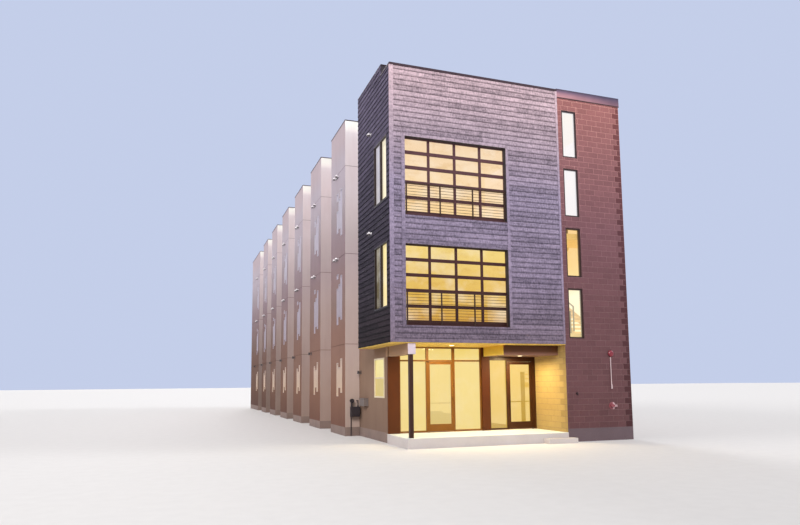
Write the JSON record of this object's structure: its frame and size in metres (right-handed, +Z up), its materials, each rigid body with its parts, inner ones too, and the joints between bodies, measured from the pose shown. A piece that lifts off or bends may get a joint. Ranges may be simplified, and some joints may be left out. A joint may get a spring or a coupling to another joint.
{
  "type": "terraced house row",
  "caption": "Terraced row of stepped stucco bays with slot windows behind a wood-clad street front, a block stair tower and a recessed glazed entrance with swinging doors.",
  "frame": {"origin": "on the flat underside, at the middle of the row's footprint over the bay faces and from the wood front to the rear wall, at the lowest ground", "axes": "+X along the street to the right as seen from the street, +Y back along the row, +Z up"},
  "size_m": [9.2713, 39.155, 12.96],
  "materials": {
    "concrete": "trowelled, matt",
    "stucco": "fine sand stucco, matt",
    "weathered_wood": "weathered rough boards, matt",
    "block": "ground concrete block, matt",
    "dark_metal": "dark powder coat",
    "floor_wood": "matt boards",
    "roofing": "membrane, matt",
    "soffit_boards": "satin boards",
    "bronze": "dark bronze, satin",
    "glass": "clear, warm lit",
    "white_frames": "satin white",
    "meter_grey": "satin grey",
    "meter_white": "satin off-white",
    "fire_red": "gloss red",
    "black_brass": "dark, worn",
    "lamp_glass": "frosted, warm"
  },
  "bodies": {
    "building": {"foundation": "concrete", "entry_slab": "concrete", "tower_base": "concrete", "bay_walls": "stucco", "bay_returns": "stucco", "recess_walls": "stucco", "rear_wall": "stucco", "wood_front_wall": "weathered_wood", "wood_side_wall": "weathered_wood", "wood_back_return": "weathered_wood", "side_wall": "stucco", "tower_front_wall": "block", "tower_side_wall": "block", "tower_inner_wall": "block", "tower_back_wall": "block", "tower_cap": "dark_metal", "stair_treads": "concrete", "stair_stringers": "dark_metal", "stair_landings": "concrete", "stair_handrails": "dark_metal", "floor_2": "floor_wood", "floor_3": "floor_wood", "roof_decks": "roofing", "upper_parapet": "stucco", "parapet_coping": "dark_metal", "front_soffit": "soffit_boards", "entry_beam": "soffit_boards", "entry_columns": "bronze", "steel_post": "bronze", "storefront_frames": "bronze", "door_headers": "bronze", "door_pivots": "dark_metal", "window_frames": "bronze", "window_glass": "glass", "guard_rails": "dark_metal", "slot_window_frames": "white_frames", "slot_window_glass": "glass", "ground_window": "white_frames", "gas_meter": "meter_grey", "meter_box": "meter_white", "wall_lights": "dark_metal", "flood_lights": "white_frames", "alarm_bell": "fire_red", "fire_connection": "fire_red", "hose_bib": "black_brass", "soffit_lights": "lamp_glass"},
    "left_leaf": {"left_door": "bronze", "left_door_glass": "glass"},
    "right_leaf": {"right_door": "bronze", "right_door_glass": "glass"}
  },
  "joints": [
    {"name": "left_door_swing", "type": "hinge", "parent": "building", "child": "left_leaf", "pos_m": [-2.492, -17.359, 0.35], "axis": [0, 0, -1], "range_deg": [0, 90]},
    {"name": "right_door_swing", "type": "hinge", "parent": "building", "child": "right_leaf", "pos_m": [1.662, -17.359, 0.35], "axis": [0, 0, 1], "range_deg": [0, 90]}
  ]
}
